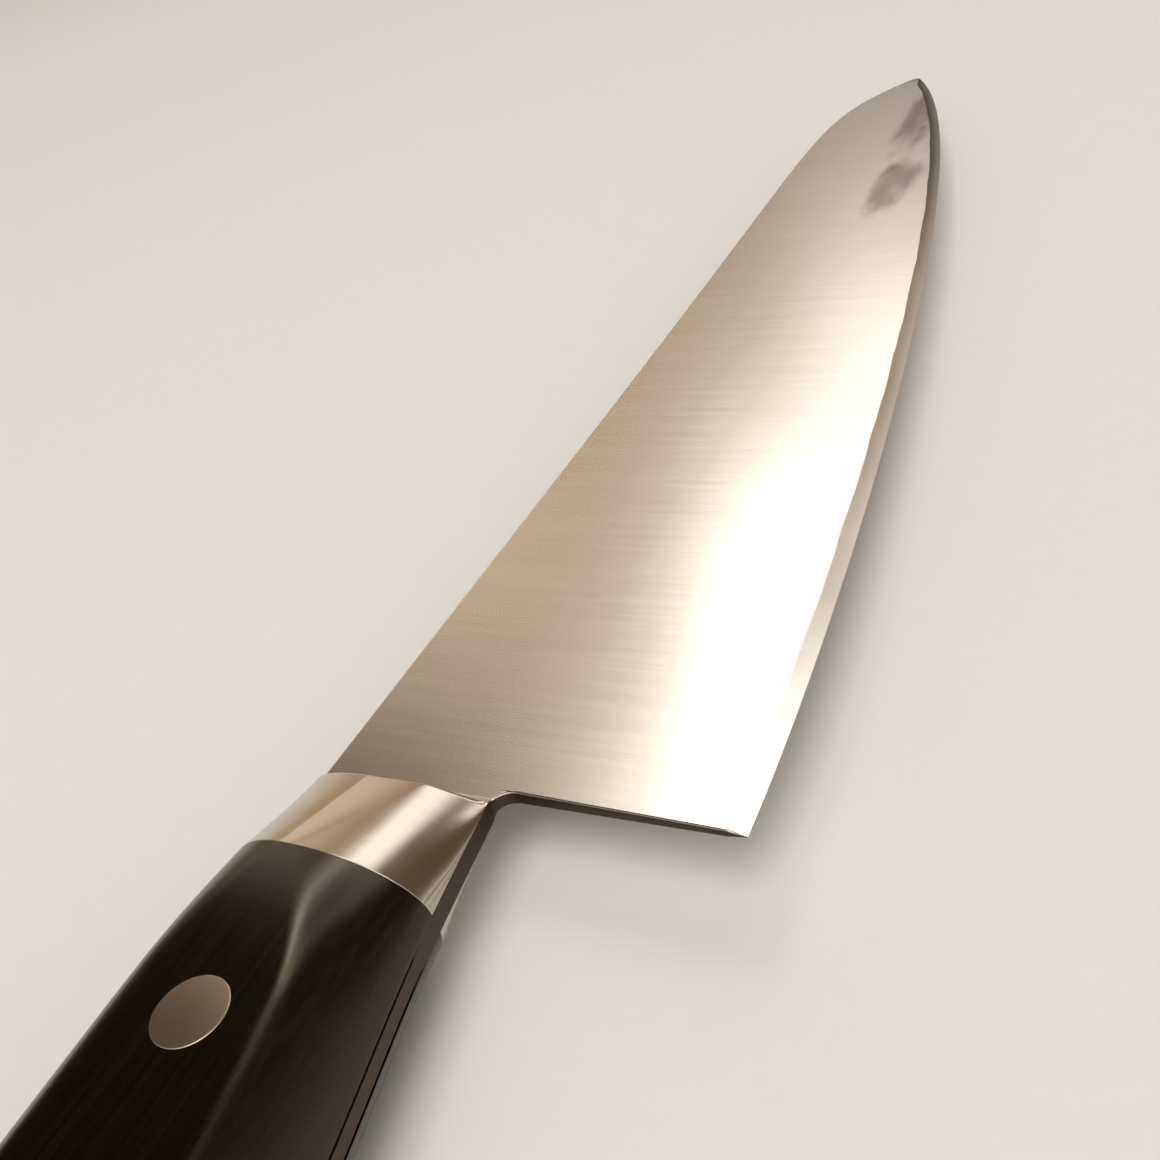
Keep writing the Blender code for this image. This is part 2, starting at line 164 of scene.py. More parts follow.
def spine_line(x):
    """Height of the spine: straight from the handle, then a full curve down to the point."""
    tip = (BLADE_LENGTH, TIP_HEIGHT)
    start = tip[0] - SPINE_CURVE_LENGTH
    pull = (tip[0] - SPINE_TIP_PULL[0], tip[1] + SPINE_TIP_PULL[1])
    curve = bezier((start, HEEL_HEIGHT), (start + SPINE_PULL, HEEL_HEIGHT), pull, tip)
    return np.interp(x, curve[:, 0], curve[:, 1])


def corner_cut(x, radius):
    """How far a corner of this radius at the butt has drawn in at x: a quarter of a circle."""
    reach = np.clip(radius - (x - butt), 0, radius)
    return radius - np.sqrt(radius**2 - reach**2)


def handle_top(x):
    """Height of the handle's top line, which the tang shares."""
    stations = (
        (butt, HEEL_HEIGHT - BUTT_SAG),
        (junction - WAIST_BACK, HEEL_HEIGHT - WAIST_SAG),
        (junction - BELLY_BACK, HEEL_HEIGHT - BELLY_SAG),
        (junction, HEEL_HEIGHT + HANDLE_CREST),
        (CHOIL_LEAN, HEEL_HEIGHT),
    )
    return smooth_through(stations, x) - corner_cut(x, BUTT_TOP_CORNER)


def handle_bottom(x):
    """Height of the handle's underside, which the tang shares."""
    stations = (
        (butt, HEEL_HEIGHT - BUTT_SAG - BUTT_HEIGHT),
        (junction - WAIST_BACK, HEEL_HEIGHT - WAIST_SAG - WAIST_HEIGHT),
        (junction - BELLY_BACK, HEEL_HEIGHT - BELLY_SAG - BELLY_HEIGHT),
        (junction, HEEL_HEIGHT + HANDLE_CREST - JUNCTION_HEIGHT),
        (fillet_start, HEEL_HEIGHT - NECK_HEIGHT),
    )
    return smooth_through(stations, x) + corner_cut(x, BUTT_BOTTOM_CORNER)


def tang_bottom(x):
    """The handle's underside, then a quarter circle down into the choil."""
    drop = np.clip(x - fillet_start, 0, NECK_FILLET)
    return handle_bottom(x) - (NECK_FILLET - np.sqrt(NECK_FILLET**2 - drop**2))


def in_order(*runs):
    """All the numbers in the runs, rounded to a ten-millionth, sorted, each once."""
    return np.unique(np.round(np.concatenate(runs), 7))


def toward_rim(radius):
    """Distances in from a rim, closer together where it turns: the radius times 1 - cosine."""
    return radius * np.append(1 - np.cos(np.linspace(0, pi / 2, RIM_POINTS)), BEYOND_RIM)


def rounding(distance, radius):
    """How far a rounded rim has drawn in at this distance from it: a quarter of a circle."""
    inside = np.clip(radius - distance, 0, radius)
    return radius - np.sqrt(radius**2 - inside**2)


def quads_over(index):
    """Corner numbers of the quads between neighbouring rows and columns of a grid of points."""
    corners = (index[:-1, :-1], index[:-1, 1:], index[1:, 1:], index[1:, :-1])
    return np.stack(corners, axis=-1)


def tidy_faces(quads):
    """The quads as lists of corners; one with a doubled corner becomes a triangle."""
    doubled = quads == np.roll(quads, -1, axis=1)
    faces = quads[~doubled.any(axis=1)].tolist()
    for corner in range(4):
        faces += np.delete(quads[doubled[:, corner]], corner, axis=1).tolist()
    return faces


def shade(mesh):
    """Shades a mesh smooth, but for its edges over the sharp angle."""
    mesh.shade_smooth()
    mesh.set_sharp_from_angle(angle=radians(SHARP_ANGLE))


def make_piece(name, points, faces, **marks):
    """A piece's object, from points given from the heel and faces given by their corners.

    Marks are numbers at the points, which a finish reads by their name.
    """
    mesh = bpy.data.meshes.new(name)
    mesh.from_pydata((points + heel).tolist(), [], faces)
    for mark, values in marks.items():
        mesh.attributes.new(mark, "FLOAT", "POINT").data.foreach_set("value", values)
    shade(mesh)
    piece = bpy.data.objects.new(name, mesh)
    bpy.context.collection.objects.link(piece)
    return piece


def stand_for(piece, node, finish):
    """Gives a piece its finish and the place of its CAD node."""
    piece.data.materials.clear()
    piece.data.materials.append(finish)
    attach(piece, "root")
    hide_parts(node)


class Value:
    """What a socket gives; sums, products and powers of it become Math nodes."""

    def __init__(self, finish, socket):
        self.finish = finish
        self.socket = socket

    def math(self, operation, *values):
        return self.finish.add("ShaderNodeMath", {"operation": operation}, values)

    def __add__(self, other):
        return self.math("ADD", self, other)

    def __radd__(self, other):
        return self.math("ADD", other, self)

    def __sub__(self, other):
        return self.math("SUBTRACT", self, other)

    def __rsub__(self, other):
        return self.math("SUBTRACT", other, self)

    def __mul__(self, other):
        return self.math("MULTIPLY", self, other)

    def __rmul__(self, other):
        return self.math("MULTIPLY", other, self)

    def __truediv__(self, other):
        return self.math("DIVIDE", self, other)

    def __pow__(self, other):
        return self.math("POWER", self, other)

    def between(self, low, high):
        """0 up to low, 1 from high, and smooth in between; low may be the larger."""
        inputs = {"Value": self, "From Min": low, "From Max": high}
        return self.finish.add("ShaderNodeMapRange", {"interpolation_type": "SMOOTHSTEP"}, inputs)


class Finish:
    """The nodes of a material or of the world: a shader and what varies it."""

    def __init__(self, block, shader="Principled BSDF"):
        self.block = block
        block.use_nodes = True
        self.tree = block.node_tree
        self.shader = self.tree.nodes[shader]

    def feed(self, socket, value):
        """Links a Value to a socket, or sets the socket to a plain number, colour or vector."""
        if isinstance(value, Value):
            self.tree.links.new(value.socket, socket)
        elif socket.type == "RGBA":
            socket.default_value = (*value, 1)
        else:
            socket.default_value = value

    def add(self, kind, settings={}, inputs={}, output=0):
        """A node of any kind: its settings are set first, then its inputs, by name or number."""
        node = self.tree.nodes.new(kind)
        for name, value in settings.items():
            setattr(node, name, value)
        pairs = inputs.items() if isinstance(inputs, dict) else enumerate(inputs)
        for name, value in pairs:
            self.feed(node.inputs[name], value)
        return Value(self, node.outputs[output])

    def from_heel(self, scale):
        """The place on the knife, in millimetres from the heel, times a scale for each way."""
        place = self.add("ShaderNodeTexCoord", output="Object")
        steps = tuple(MM * s for s in scale)
        start = tuple(-h * s for h, s in zip(heel, steps))
        return self.add("ShaderNodeMapping", {}, {"Vector": place, "Location": start, "Scale": steps})

    def noise(self, scale, detail=2.0, roughness=0.5):
        """Noise from about 0 to 1, with so many waves to the millimetre each way."""
        inputs = {"Vector": self.from_heel(scale), "Scale": 1.0}
        inputs.update({"Detail": detail, "Roughness": roughness})
        return self.add("ShaderNodeTexNoise", {}, inputs)

    def along(self, axis):
        """One coordinate of the place, in millimetres from the heel: 0 for x, 1 for y, 2 for z."""
        place = self.from_heel((1, 1, 1))
        return self.add("ShaderNodeSeparateXYZ", {}, {"Vector": place}, output=axis)

    def mark(self, name):
        """A number that the piece's mesh carries at its points."""
        return self.add("ShaderNodeAttribute", {"attribute_name": name}, output="Fac")

    def dark_reflection(self, place, size, ragged):
        """A painted dark reflection: 1 in the middle of a patch on the blade, fading to 0 at its rim, in
        mm.

        The squares of the distances each way, each over its own half size, add up to 1 on the
        rim, and a noise moves the rim in and out.
        """
        x = (self.along(0) - place[0]) * (1 / size[0])
        y = (self.along(1) - place[1]) * (1 / size[1])
        out = x * x + y * y + (ragged - 0.5) * REFLECTION_RAGGED
        return out.between(1.0, 0.0) ** REFLECTION_FADE

    def mix(self, share, low, high):
        """One colour turning into another as the share goes from 0 to 1."""
        return self.add("ShaderNodeMix", {"data_type": "RGBA"}, {0: share, 6: low, 7: high}, output=2)

    def bump(self, height):
        """The normal of a surface with this relief, in millimetres."""
        return self.add("ShaderNodeBump", {}, {"Height": height * (1 / MM), "Distance": 1.0})

    def wear(self, **inputs):
        """Feeds the shader's sockets, named with underscores for spaces."""
        for name, value in inputs.items():
            self.feed(self.shader.inputs[name.replace("_", " ")], value)
        return self.block


def blade_face_half(x, y):
    """Half thickness of the blade: a plane that thins to the edge and to the tip.

    Close to the point it is drawn in by a quarter of an ellipse.
    """
    half = half_tang - DISTAL_TAPER * x - face_slope * (HEEL_HEIGHT - y)
    closing = np.clip((BLADE_LENGTH - x) / TIP_ROUNDING, 0, 1)
    return half * np.sqrt(closing * (2 - closing))


def sawn_distance(x, y):
    """How far a place on the blade is from the rim of choil, neck fillet and tang underside.

    In front of the choil it is the way back to its line, beside the fillet the way to its circle,
    and behind that the height above the tang's underside.
    """
    choil = x - CHOIL_LEAN * y / HEEL_HEIGHT
    fillet = np.hypot(x - fillet_start, y - choil_height) - NECK_FILLET
    under = np.where(x < fillet_start, y - handle_bottom(x), fillet)
    return np.where(y < choil_height, choil, under)


def rim_distance(x, y):
    """How far a place on the blade is from its nearest rim, with the drop to the spine the other."""
    top = np.where(x > CHOIL_LEAN, spine_line(x), handle_top(x)) - y
    return np.clip(np.minimum(top, sawn_distance(x, y)), 0, None)


def blade_half(x, y, on_bevel):
    """Half thickness anywhere: the tang's flat sides, the neck, the ground faces and their rims.

    Over the bevel it is multiplied by the share of the bevel's height, so it ends in the edge.
    The rims are left square under the handle, where the bolster and the scales lie against them.
    """
    ramp = np.clip((x - bolster_front) / NECK_RAMP, 0, 1)
    blend = ramp * ramp * (3 - 2 * ramp)
    faces = blade_face_half(np.maximum(x, CHOIL_LEAN), y)
    half = np.where(x < CHOIL_LEAN, half_tang + (faces - half_tang) * blend, faces)
    half = np.where(y < choil_height, blade_face_half(x, y), half) * on_bevel
    open_rim = np.clip((x - bolster_front) / RIM_ROUNDING, SQUARE_RIM, 1)
    limit = np.maximum(ROUNDING_LIMIT * half, LEAST_ROUNDING)
    radius = np.clip(RIM_ROUNDING * open_rim, LEAST_ROUNDING, limit)
    return np.maximum(half - rounding(rim_distance(x, y), radius), 0)


def bevel_waver(x):
    """How the bevel's upper line wanders, from -1 to 1: a slow wave and a quick one that swells."""
    quick = np.sin(x * QUICK_WAVES + 1) * np.sin(x * SWELLS)
    return 0.6 * np.sin(x * SLOW_WAVES) + 0.4 * quick


def blade_grid():
    """Places (x, y, half thickness) in rows from edge to spine and columns from butt to tip.

    A row's height is a share of the blade's height there. From the neck up, the rows run on over
    the tang. Columns and rows crowd together at the rims, the bevel's shoulder and the point. Two
    marks follow each place: 0 to 1 up the bevel, and 1 on the rim under the handle and at the
    choil, to 0 where its rounding ends; that rim is painted dark, a painted reflection and shade.
    """
    rim = toward_rim(RIM_ROUNDING)
    neck = choil_height / HEEL_HEIGHT
    ahead = np.sin(np.linspace(0, pi / 2, BLADE_COLUMNS))[:-1]
    first = int(np.searchsorted(ahead, rim[-1] / BLADE_LENGTH)) + 1
    share = np.append(rim / BLADE_LENGTH, ahead[first:])
    angles = np.linspace(0, pi / 2, FILLET_COLUMNS)[:-1]
    corner = butt + BUTT_BOTTOM_CORNER * (1 - np.cos(np.linspace(0, pi / 2, BUTT_COLUMNS)))
    middle = np.linspace(butt + BUTT_BOTTOM_CORNER, fillet_start, TANG_COLUMNS)
    tang_x = in_order(corner, middle, fillet_start + NECK_FILLET * np.sin(angles))

    edge_x = BLADE_LENGTH * share
    spine_x = CHOIL_LEAN + (BLADE_LENGTH - CHOIL_LEAN) * share
    edge_y = edge_line(edge_x)
    height = spine_line(spine_x) - edge_y
    shoulder = (BEVEL_WIDTH + BEVEL_WAVER * bevel_waver(edge_x)) / height
    shoulder = np.minimum(shoulder, neck / 2)
    rim_share = np.minimum(rim[:, None] / height, RIM_SHARE * rim[:, None] / rim[-1])

    bevel = np.array(BEVEL_ROWS)[:, None] * shoulder
    steps = np.linspace(0, 1, FACE_ROWS)[1:, None]
    low_start, low_end = bevel[-1], neck - rim_share[-1]
    low = low_start + (low_end - low_start) * steps
    over_neck = neck + rim_share[1:]
    high_start, high_end = over_neck[-1], 1 - rim_share[-1]
    high = high_start + (high_end - high_start) * steps
    neck_row = np.full((1, len(share)), neck)
    v = np.concatenate((bevel, low, neck_row, over_neck, high, 1 - rim_share[-2::-1]))
    on_bevel = np.minimum(v / shoulder, 1)
    x = edge_x + (spine_x - edge_x) * v
    y = edge_y + height * v
    sawn = 1 - np.clip(sawn_distance(x, y) / RIM_ROUNDING, 0, 1)
    blade = np.stack((x, y, blade_half(x, y, on_bevel), np.minimum(v / shoulder, 2), sawn), axis=-1)

    neck_index = len(bevel) + len(low)
    up = (v[:, 0] - neck) / (1 - neck)
    top, bottom = handle_top(tang_x), tang_bottom(tang_x)
    y = bottom + (top - bottom) * np.clip(up, 0, 1)[:, None]
    x = np.broadcast_to(tang_x, y.shape)
    sawn = 1 - np.clip(sawn_distance(x, y) / RIM_ROUNDING, 0, 1)
    tang = np.stack((x, y, blade_half(x, y, 1.0), np.full_like(x, 2), sawn), axis=-1)
    return np.concatenate((tang, blade), axis=1), neck_index, len(tang_x)


def make_blade():
    """Both faces, joined by strips round the rim; they meet in the edge and in the point."""
    grid, neck_row, choil = blade_grid()
    rows, columns = grid.shape[:2]
    right = np.arange(rows * columns).reshape(rows, columns)
    left = right + rows * columns
    left[0] = right[0]
    tip = 2 * rows * columns
    points = np.concatenate((grid.reshape(-1, 5), (grid * (1, 1, -1, 1, 1)).reshape(-1, 5)))
    points = np.concatenate((points, ((BLADE_LENGTH, TIP_HEIGHT, 0, 0, 0),)))
    right, left = (np.column_stack((side, np.full(rows, tip))) for side in (right, left))
    there = np.full((rows - 1, columns), True)
    there[:neck_row, :choil] = False
    rim = [(rows - 1, column) for column in range(columns, -1, -1)]
    rim += [(row, 0) for row in range(rows - 2, neck_row - 1, -1)]
    rim += [(neck_row, column) for column in range(1, choil + 1)]
    rim += [(row, choil) for row in range(neck_row - 1, -1, -1)]
    rim = tuple(np.array(rim).T)
    strip = np.column_stack((right[rim][:-1], left[rim][:-1], left[rim][1:], right[rim][1:]))
    sides = (quads_over(right)[there], quads_over(left)[there][:, ::-1], strip)
    used, numbers = np.unique(np.concatenate(sides), return_inverse=True)
    place, bevel, sawn = points[used, :3], points[used, 3], points[used, 4]
    faces = tidy_faces(numbers.reshape(-1, 4))
    return make_piece("blade_and_tang", place, faces, bevel=bevel, sawn=sawn)


def satin_steel():
    """Blade steel: a satin face with fine lines across, a ground bevel, and painted light and shade.

    Two dark patches on the face are painted reflections. The bevel's colour is painted lighter
    towards the heel, a painted highlight that makes it nearly as bright as the face, and darker
    towards the point, a painted shade. Its mark is 0 on the edge and 1 on its shoulder. The rim
    under the handle and at the choil is rougher and painted dark, a painted reflection and shade.
    """
    finish = Finish(bpy.data.materials.new("satin blade steel"))
    lines = finish.noise((5.0, 0.08, 0.4), detail=4.0, roughness=0.65)
    streaks = finish.noise((0.9, 0.03, 0.2), detail=3.0, roughness=0.6)
    waver = finish.noise((0.03, 0.09, 0.02), detail=1.0)
    cloud = finish.noise((0.15, 0.40, 0.40), detail=4.0, roughness=0.6)
    face = finish.mix((lines * 0.5 + streaks * 0.5).between(0.30, 0.70), FACE_DARK, FACE_LIGHT)
    ragged = finish.noise((0.08, 0.22, 0.20), detail=3.0, roughness=0.6)
    # Two painted dark reflections on the face, deeper where the cloud is.
    reflection_depth = 0.60 + cloud.between(0.25, 0.75) * 0.15
    reflections = [finish.dark_reflection(place, size, ragged) * reflection_depth for place, size in DARK_REFLECTIONS]
    reflected_face = finish.mix(reflections[0] + reflections[1], face, REFLECTION_DARK)
    up_bevel = finish.mark("bevel")
    bevel = up_bevel.between(1.02, 0.98)
    # The bevel is painted lighter near the heel, a painted highlight, and darker towards the point, a
    # painted shade.
    bevel_highlight = finish.along(0).between(*BEVEL_HIGHLIGHT_SPAN)
    shaded_bevel = finish.mix(finish.along(0).between(*BEVEL_SHADE_SPAN), BEVEL_MIDDLE, BEVEL_SHADE)
    ground = finish.mix(up_bevel.between(0.90, 0.10) * 0.3, shaded_bevel, face)
    ground = finish.mix(bevel_highlight, ground, face)
    # The rim under the handle and at the choil is painted dark, a painted reflection and shade.
    sawn = finish.mark("sawn").between(0.3, 0.9)
    rough = FACE_ROUGHNESS + lines * 0.02 + streaks * 0.02
    duller = bevel * (1 - bevel_highlight) * BEVEL_ROUGHNESS
    return finish.wear(
        Metallic=1.0,
        Base_Color=finish.mix(sawn, finish.mix(bevel, reflected_face, ground), RIM_SHADE),
        Roughness=rough + duller + sawn * SAWN_ROUGHNESS,
        Normal=finish.bump(streaks * 0.0003 + waver * 0.02),
    )


blade_steel = satin_steel()
blade = make_blade()

# Bolster. Two pieces of stainless steel brazed to the sides of the tang and ground down with it,
# so that they flare from the neck to the width of the scales, then polished along the handle.
BOLSTER_NOSE = 0.0030  # half widths, seen from above the spine
JUNCTION_HALF = 0.0074
SCALE_HALF = 0.0088  # what the crowned sides would reach
FLAT_HALF = 0.0085  # where the sides are ground flat
FLARE_LENGTH = 0.0150
NOSE_ROUNDING = 0.0006
BUTT_ROUNDING = 0.0025
BOLSTER_UPPER_SHARE = 0.36  # rounded corners of the section, as shares of its height
NOSE_LOWER_SHARE = 0.30
BOLSTER_LOWER_SHARE = 0.60  # at the bolster's rear face
SCALE_UPPER_CORNER = 0.0064
SCALE_LOWER_CORNER = 0.0062
BOLSTER_UPPER_FULLNESS = 2.0  # an exponent of 2 is an ellipse, 1 a straight slope
NOSE_LOWER_FULLNESS = 1.10
BOLSTER_LOWER_FULLNESS = 2.0  # at the bolster's rear face
SCALE_UPPER_FULLNESS = 1.75
SCALE_LOWER_FULLNESS = 1.35
SEAM_ROUNDING = 0.00007  # of the edges where bolster and scale meet
FLAT_SOFTNESS = 0.00024  # how gently the crowned side turns into the ground flat
SIDES = (("right", False), ("left", True))  # the left pieces are mirrored
CORNER_POINTS = 72  # of each of a section's two corners
NOSE_RINGS = 10
BOLSTER_RINGS = 90
BOLSTER_DARK = (0.52, 0.465, 0.395)
BOLSTER_LIGHT = (0.60, 0.545, 0.475)
BOLSTER_ROUGHNESS = 0.15


def handle_section(x, turn, inset):
    """Heights and widths of the right half's outside at x, from top (turn 0) to bottom (pi).

    A section is an upper and a lower rounded corner, each a quarter of a superellipse that starts
    on the tang's edge, and the flat limits its width with a softened minimum.
    """
    behind = np.clip((junction - x) / FLARE_LENGTH, 0, 1)
    along = np.clip((bolster_front - x) / BOLSTER_LENGTH, 0, 1)
    swell = behind * (2 - behind)
    nose = NOSE_ROUNDING * np.clip(1 - (bolster_front - x) / NOSE_ROUNDING, 0, 1) ** 2
    half = BOLSTER_NOSE + (JUNCTION_HALF - BOLSTER_NOSE) * along - nose
    half = half + (SCALE_HALF - JUNCTION_HALF) * swell - inset
    top = handle_top(x) - inset
    bottom = handle_bottom(x) + inset
    height = top - bottom
    lower_share = NOSE_LOWER_SHARE + (BOLSTER_LOWER_SHARE - NOSE_LOWER_SHARE) * along
    lower_fullness = NOSE_LOWER_FULLNESS + (BOLSTER_LOWER_FULLNESS - NOSE_LOWER_FULLNESS) * along
    upper = BOLSTER_UPPER_SHARE * height * (1 - swell) + SCALE_UPPER_CORNER * swell
    lower = lower_share * height * (1 - swell) + SCALE_LOWER_CORNER * swell
    room = (BOLSTER_UPPER_SHARE + BOLSTER_LOWER_SHARE) * height
    fit = np.minimum(1, room / (upper + lower))
    upper = upper * fit
    lower = lower * fit
    upper_power = 2 / (BOLSTER_UPPER_FULLNESS * (1 - swell) + SCALE_UPPER_FULLNESS * swell)
    lower_power = 2 / (lower_fullness * (1 - swell) + SCALE_LOWER_FULLNESS * swell)
    power = np.where(turn <= pi / 2, upper_power, lower_power)
    across = np.abs(np.cos(turn)) ** power
    out = np.abs(np.sin(turn)) ** power
    y = np.where(turn <= pi / 2, top - upper + upper * across, bottom + lower - lower * across)
    crowned = half_tang + (half - half_tang) * out
    flat = FLAT_HALF - corner_cut(x, BUTT_ROUNDING) - inset
    soft = -FLAT_SOFTNESS * np.logaddexp(-crowned / FLAT_SOFTNESS, -flat / FLAT_SOFTNESS)
    return y, np.maximum(soft, half_tang)


def make_handle_half(name, stations, seam, mirrored):
    """One side's piece between two stations: a ring of points at each, closed by flat ends.

    The seam is the station where bolster and scale meet; the edge there is rounded over.
    """
    corner = np.linspace(0, pi / 2, CORNER_POINTS)
    turn = np.concatenate((corner, pi - corner[::-1]))[None, :]
    x = np.sort(stations)[:, None]
    y, z = handle_section(x, turn, rounding(np.abs(x - seam), SEAM_ROUNDING))
    points = np.stack((np.broadcast_to(x, y.shape), y, z), axis=-1)
    index = np.arange(y.size).reshape(y.shape)
    index = np.column_stack((index, index[:, 0]))
    faces = quads_over(index).reshape(-1, 4).tolist()
    faces += [index[0, -2::-1].tolist(), index[-1, :-1].tolist()]
    if mirrored:
        points = points * (1, 1, -1)
        faces = [face[::-1] for face in faces]
    return make_piece(name, points.reshape(-1, 3), faces)


def polished_steel():
    """Bolster steel: nearly bright, with faint polishing lines along the handle."""
    finish = Finish(bpy.data.materials.new("polished bolster steel"))
    lines = finish.noise((0.06, 6.0, 6.0), detail=3.0, roughness=0.6)
    cloud = finish.noise((0.25, 0.25, 0.25), detail=2.0)
    return finish.wear(
        Metallic=1.0,
        Base_Color=finish.mix(cloud, BOLSTER_DARK, BOLSTER_LIGHT),
        Roughness=BOLSTER_ROUGHNESS + lines * 0.04 + cloud * 0.03,
        Normal=finish.bump(lines * 0.0008 + cloud * 0.01),
    )


bolster_steel = polished_steel()
nose = bolster_front - NOSE_ROUNDING * np.linspace(0, 1, NOSE_RINGS)
body = np.linspace(junction, bolster_front, BOLSTER_RINGS)
bolster_stations = in_order(nose, body, junction + toward_rim(SEAM_ROUNDING))
for side, mirrored in SIDES:
    piece = make_handle_half(f"bolster_half_{side}", bolster_stations, junction, mirrored)
    stand_for(piece, f"bolster_{side}", bolster_steel)

# Scales. Two slabs of black laminated wood, thin veneers soaked in resin and pressed, glued to the
# tang and held by three rivets. They are shaped with it on a belt, flat on the sides and rounded
# above and below, and polished to a low sheen.
RIVET_HEAD = 0.0066
RIVET_HEAD_DEPTH = 0.0030
RIVET_TUBE = 0.0044
RIVET_STEM = 0.0028
RIVET_CLEARANCE = 0.00002
RIVET_BACKS = {"front": 0.0175, "middle": 0.0540, "rear": 0.0905}  # behind the bolster
ROUND_SIDES = 144
FLARE_RINGS = 90
SCALE_RINGS = 110
BUTT_RINGS = 40
WOOD_DARK = (0.0008, 0.0006, 0.0004)
WOOD_BROWN = (0.0095, 0.0046, 0.0023)
WOOD_ROUGHNESS = 0.17
WOOD_SHEEN = (1.0, 0.83, 0.60)  # the resin's tint of what the wood mirrors


def turned(name, profile, place):
    """A profile of (radius, z) points turned about an upright axis; a radius of 0 is a pole.

    A point lies off the axis by its radius times the cosine and the sine of the turn.
    """
    angles = np.linspace(0, 2 * pi, ROUND_SIDES, endpoint=False)
    profile = np.array(profile)
    radius, z = profile[:, :1], profile[:, 1:]
    rings = (place[0] + radius * np.cos(angles), place[1] + radius * np.sin(angles), z + 0 * angles)
    points = np.stack(rings, axis=-1).reshape(-1, 3)
    index = np.arange(len(points)).reshape(len(profile), ROUND_SIDES)
    poles = profile[:, 0] == 0
    index[poles] = index[poles][:, :1]
    index = np.column_stack((index, index[:, 0]))
    used, numbers = np.unique(quads_over(index), return_inverse=True)
    return make_piece(name, points[used], tidy_faces(numbers.reshape(-1, 4)))


def rivet_place(back):
    """Where a rivet crosses the tang: midway up the handle, this far behind the bolster."""
    x = junction - back
    return x, float(handle_top(x) + handle_bottom(x)) / 2


def bore(piece, radius, low, high):
    """Drills a hole for each rivet through a piece between two heights, and keeps the result."""
    for back in RIVET_BACKS.values():
        profile = ((0, low), (radius, low), (radius, high), (0, high))
        drill = turned("drill", profile, rivet_place(back))
        cut = piece.modifiers.new("bore", "BOOLEAN")
        cut.operation, cut.solver, cut.object = "DIFFERENCE", "EXACT", drill
        drilled = piece.evaluated_get(bpy.context.evaluated_depsgraph_get())
        bored = bpy.data.meshes.new_from_object(drilled)
        piece.modifiers.clear()
        piece.data = bored
        bpy.data.objects.remove(drill, do_unlink=True)
    shade(piece.data)


def black_wood():
    """Black laminated wood: veneers a third of a millimetre thick, seen as faint brown lines."""
    finish = Finish(bpy.data.materials.new("black laminated wood"))
    veneer = finish.noise((0.012, 1.6, 1.6), detail=3.0, roughness=0.6)
    grain = finish.noise((0.10, 5.0, 5.0), detail=3.0, roughness=0.7)
    cloud = finish.noise((0.04, 0.15, 0.15), detail=2.0)
    tone = (veneer * 0.55 + grain * 0.30 + cloud * 0.15).between(0.38, 0.72)
    return finish.wear(
        Base_Color=finish.mix(tone, WOOD_DARK, WOOD_BROWN),
        Roughness=WOOD_ROUGHNESS + grain * 0.08 + veneer * 0.06,
        Specular_IOR_Level=0.6,
        Specular_Tint=WOOD_SHEEN,
        Normal=finish.bump(veneer * 0.006),
    )


wood = black_wood()
seat = FLAT_HALF - RIVET_HEAD_DEPTH
beyond = 2 * FLAT_HALF
flare = junction - FLARE_LENGTH * np.linspace(0, 1, FLARE_RINGS)
body = np.linspace(butt + BUTT_BOTTOM_CORNER, junction - FLARE_LENGTH, SCALE_RINGS)
corner = butt + BUTT_BOTTOM_CORNER * (1 - np.cos(np.linspace(0, pi / 2, BUTT_RINGS)))
scale_stations = in_order(flare, body, corner, junction - toward_rim(SEAM_ROUNDING))
for side, mirrored in SIDES:
    piece = make_handle_half(f"wood_scale_{side}", scale_stations, junction, mirrored)
    bore(piece, RIVET_TUBE / 2 + RIVET_CLEARANCE, -beyond, beyond)
    if mirrored:
        bore(piece, RIVET_HEAD / 2 + RIVET_CLEARANCE, -beyond, RIVET_CLEARANCE - seat)
    else:
        bore(piece, RIVET_HEAD / 2 + RIVET_CLEARANCE, seat - RIVET_CLEARANCE, beyond)
    stand_for(piece, f"scale_{side}", wood)
bore(blade, RIVET_TUBE / 2 + RIVET_CLEARANCE, -beyond, beyond)
stand_for(blade, "blade", blade_steel)

# Rivets. Three cutler's rivets, each a headed pin pressed into a headed tube, so that the heads
# draw the scales together. The heads are ground flush with the wood and keep a faint bright rim.
RIVET_RIM = 0.00008
RIVET_DARK = (0.58, 0.455, 0.335)
RIVET_LIGHT = (0.66, 0.530, 0.400)
RIVET_ROUGHNESS = 0.31


def rivet_steel():
    """Rivet steel: ground flat along with the wood, with short fine scratches along the handle."""
    finish = Finish(bpy.data.materials.new("ground rivet steel"))
    lines = finish.noise((0.5, 9.0, 2.0), detail=3.0, roughness=0.6)
    cloud = finish.noise((0.5, 0.5, 0.5), detail=2.0)
    return finish.wear(
        Metallic=1.0,
        Base_Color=finish.mix(cloud, RIVET_DARK, RIVET_LIGHT),
        Roughness=RIVET_ROUGHNESS + lines * 0.06,
        Normal=finish.bump(lines * 0.0015),
    )


def head_profile():
    """From the head's middle out over its rim, a quarter of a circle, and down to its seat."""
    angles = np.linspace(0, pi / 2, RIM_POINTS)
    radius = RIVET_HEAD / 2 - RIVET_RIM * (1 - np.sin(angles))
    z = FLAT_HALF - RIVET_RIM * (1 - np.cos(angles))
    return [(0, FLAT_HALF), *zip(radius, z), (RIVET_HEAD / 2, seat)]


